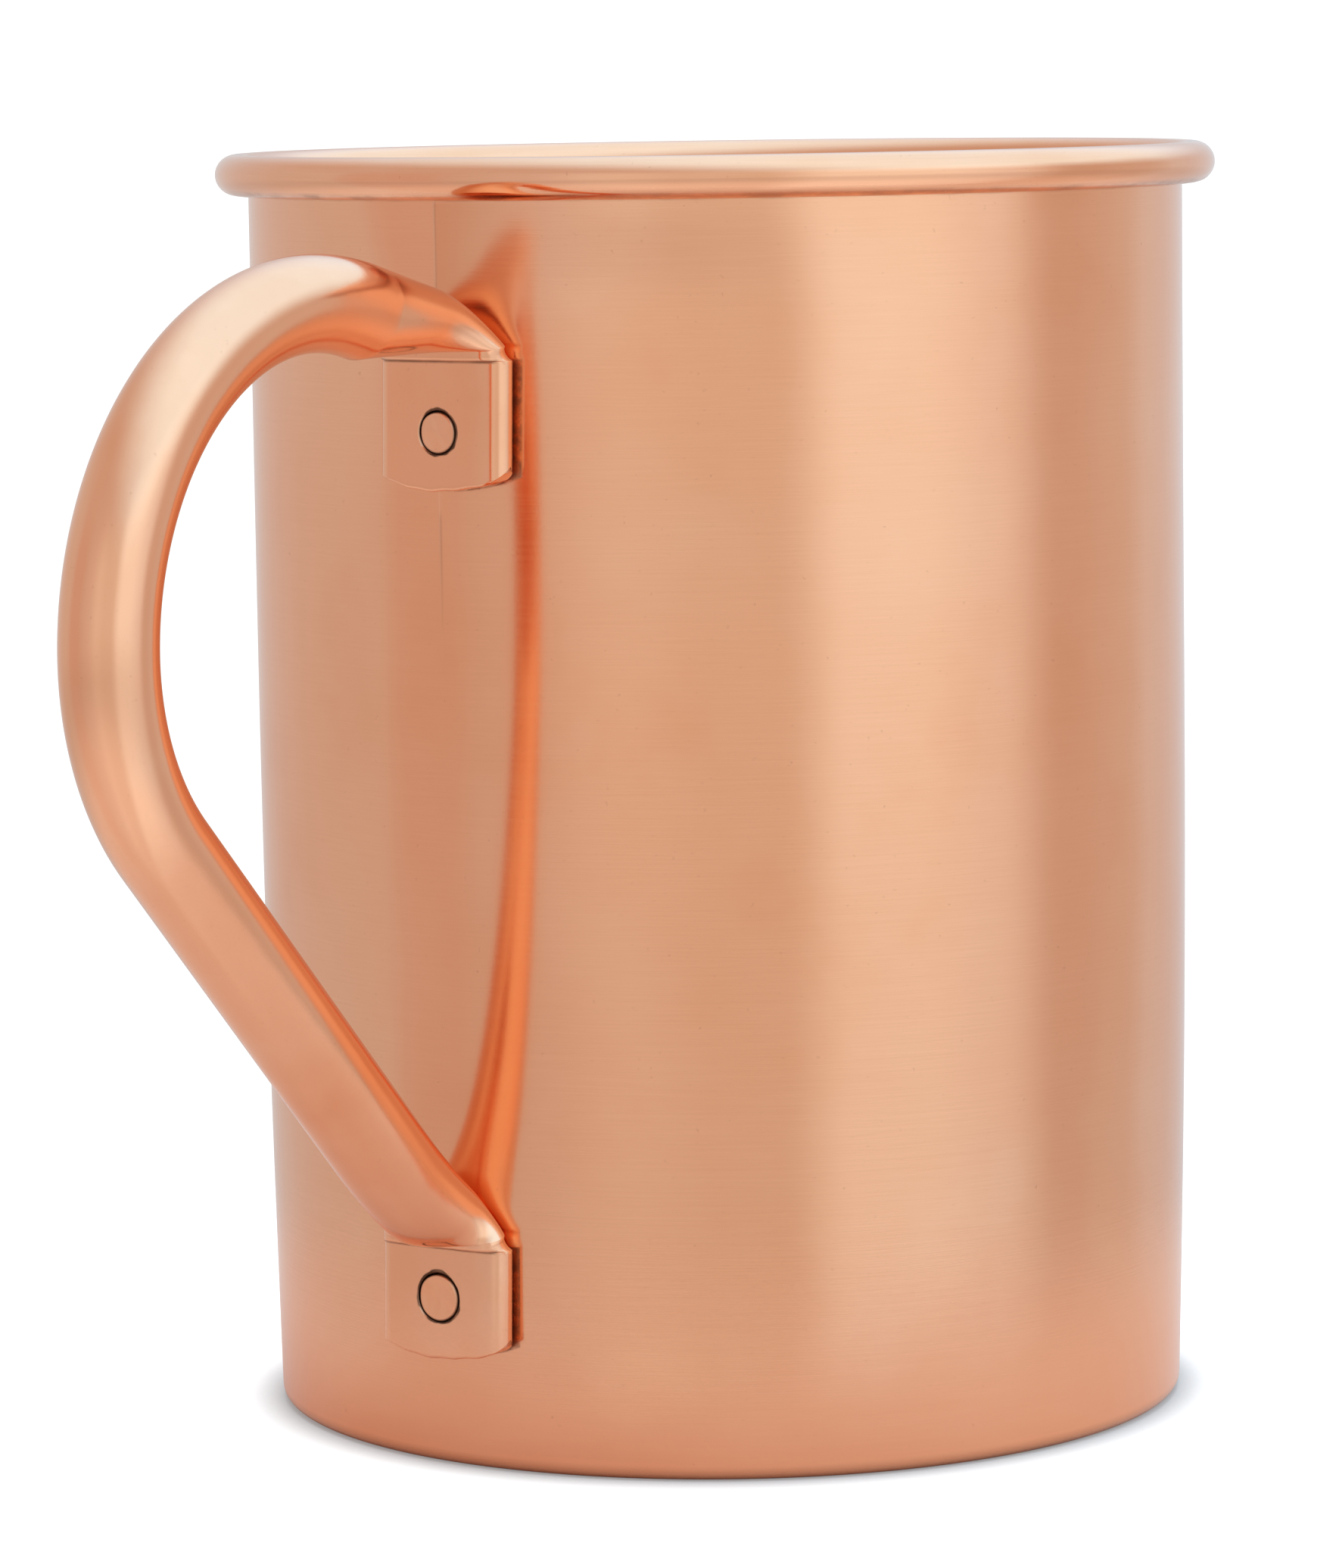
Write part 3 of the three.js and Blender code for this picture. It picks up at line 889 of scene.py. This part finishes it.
def paint_cup_shade(m, plan, height, outside, front):
    """Painted shade at the foot, in the joint under the rim and round the tabs."""
    # Painted shade: a darker band at the foot stands for the reflected contact shadow on the floor.
    m.soil_and_shade(m.spread(height, 0.2 * MM, 1.4 * MM, 0.4, 0))
    # Painted shade in the joint under the curled rim, broken into streaks.
    under_rim = m.maths("ABSOLUTE", m.maths("SUBTRACT", height, curl_underside + 0.25 * MM), 0)
    joint = m.maths("MULTIPLY", m.spread(under_rim, 0.1 * MM, 0.45 * MM, 1, 0), outside)
    streaky = m.spread(m.noise((250, 250, 900), 3), 0.35, 0.65, 0.1, 0.75)
    m.soil_and_shade(m.maths("MULTIPLY", joint, streaky), 0.55)
    # Painted shade on the wall round each tab's outline, where the tab stands off the wall.
    patchy = m.spread(m.noise(900, 3), 0.35, 0.6, 0.3, 1)
    for end in (plan["upper"], plan["lower"]):
        edge = m.spread(m.outside_tab(plan, end), 0, 0.18 * MM, 0.6, 0)
        m.soil_and_shade(m.maths("MULTIPLY", m.maths("MULTIPLY", edge, front), patchy))


def cup_material(plan):
    """Brushed round the cup, smoother on the curled rim, with the seam's fine line, and painted shade by the
    tabs, under the rim and at the foot.
    """
    m = copper("cup_copper", 0.155)
    height = m.axis("Z")
    brushing = brush_round(m)
    rim = m.spread(height, curl_underside - 0.3 * curl_radius, curl_underside + 0.1 * curl_radius, 0, 1)
    m.polish = m.maths("SUBTRACT", m.polish, m.maths("MULTIPLY", rim, 0.05))
    outside = cup_outside(m)
    front = m.maths("MULTIPLY", m.spread(m.axis("X"), 0.0, 1 * MM, 0, 1), outside)
    dull_inside(m, height, outside)
    mark_seam(m, height, front)
    m.colour = m.mix(m.spread(brushing, 0.75, 1.25, 0.09, 0), m.colour, COPPER_DARK)
    paint_cup_shade(m, plan, height, outside, front)
    brushed = m.bump(brushing, 0.002 * MM)
    dimpled = m.bump(m.noise(2600, 2), 0.0012 * MM, brushed)
    m.link(dimpled, m.shader.inputs["Normal"])
    return finished(m)


def handle_material(plan):
    """Polished, not brushed, with painted shade in the rivet holes, along the folds and against the wall, and
    a painted reflection of the wall on the sides that face it.
    """
    m = copper("handle_copper", 0.16, mottle=40)
    facing = m.tree.nodes.new("ShaderNodeTexCoord").outputs["Normal"]
    # Painted reflection: sides facing the wall take a deeper orange, standing for the copper wall reflected
    # in them.
    inward = m.smooth(m.dot(facing, (-1, 0, 0)), 0.05, 0.5, 0, 0.9)
    m.colour = m.mix(inward, m.colour, WALL_REFLECTION_ORANGE)
    # Painted shade on the tabs' backs, where they lie against the wall.
    by_wall = m.spread(m.axis("X"), wall_radius - 0.3 * MM, wall_radius + 0.1 * MM, 1, 0)
    m.soil_and_shade(by_wall, 0.28)
    patchy = m.spread(m.noise(500, 2), 0.35, 0.6, 0.7, 1)
    near_wall = m.spread(m.axis("X"), wall_radius + 3 * MM, wall_radius + 3.5 * MM, 1, 0)
    for end in (plan["upper"], plan["lower"]):
        # Painted shade in the gap round each rivet, with a ragged edge.
        from_axis = m.round_axis(*rivet_place(plan, end))
        ragged_from_axis = m.maths("SUBTRACT", from_axis, m.spread(m.noise(330, 2), 0.4, 0.65, 0, 0.3 * MM))
        hole_edge = hole_radius * end["rivet_size"]
        hole = m.maths("MULTIPLY", m.spread(ragged_from_axis, hole_edge, hole_edge + 0.12 * MM, 1, 0), patchy)
        m.soil_and_shade(m.maths("MULTIPLY", hole, near_wall), 0.9)
        # Painted shade in the crease along each fold, on the tab's face.
        from_fold = m.maths("ABSOLUTE", m.maths("SUBTRACT", m.axis("Z"), end["fold"]), 0)
        face = end["meets"].x + tab_thickness
        crease = m.maths("MULTIPLY", m.spread(from_fold, 0.02 * MM, 0.25 * MM, 1, 0), near_wall)
        at_face = m.spread(m.axis("X"), face - 0.5 * MM, face - 0.2 * MM, 0, 1)
        crease = m.maths("MULTIPLY", crease, at_face)
        m.soil_and_shade(m.maths("MULTIPLY", crease, patchy), 0.8)
    dimpled = m.bump(m.noise(1800, 3), 0.003 * MM)
    m.link(m.bump(m.noise(90, 2), 0.08 * MM, dimpled), m.shader.inputs["Normal"])
    return finished(m)


def rivet_material(plan):
    """Duller than the handle, with painted shade round the edge of the shank's end."""
    m = copper("rivet_copper", 0.3, mottle=160)
    outside = m.spread(m.axis("X"), wall_radius - sheet, wall_radius, 0, 1)
    for end in (plan["upper"], plan["lower"]):
        away = m.round_axis(*rivet_place(plan, end))
        shank = rivet_radius * end["rivet_size"]
        # Painted shade in the gap round the shank's end, outside the cup.
        edge = m.spread(away, shank - 0.15 * MM, shank + 0.05 * MM, 0, 1)
        edge = m.maths("MULTIPLY", edge, m.spread(away, rivet_head_flat + 0.1 * MM, rivet_head_radius, 1, 0))
        m.soil_and_shade(m.maths("MULTIPLY", edge, outside), 0.85)
    m.link(m.bump(m.noise(900, 3), 0.05 * MM), m.shader.inputs["Normal"])
    return finished(m)


# ---------------------------------------------------------------- everything

view_back = make_camera()
make_world(view_back)
make_floor()

plan = handle_plan()
cup_look = cup_material(plan)
handle_look = handle_material(plan)
rivet_look = rivet_material(plan)
for piece, look in (
    (make_cup_wall(), cup_look),
    (make_base(), cup_look),
    (make_handle(plan), handle_look),
    (make_rivet(plan, "upper"), rivet_look),
    (make_rivet(plan, "lower"), rivet_look),
):
    piece.data.materials.clear()
    piece.data.materials.append(look)

bpy.context.scene.view_settings.view_transform = "Standard"
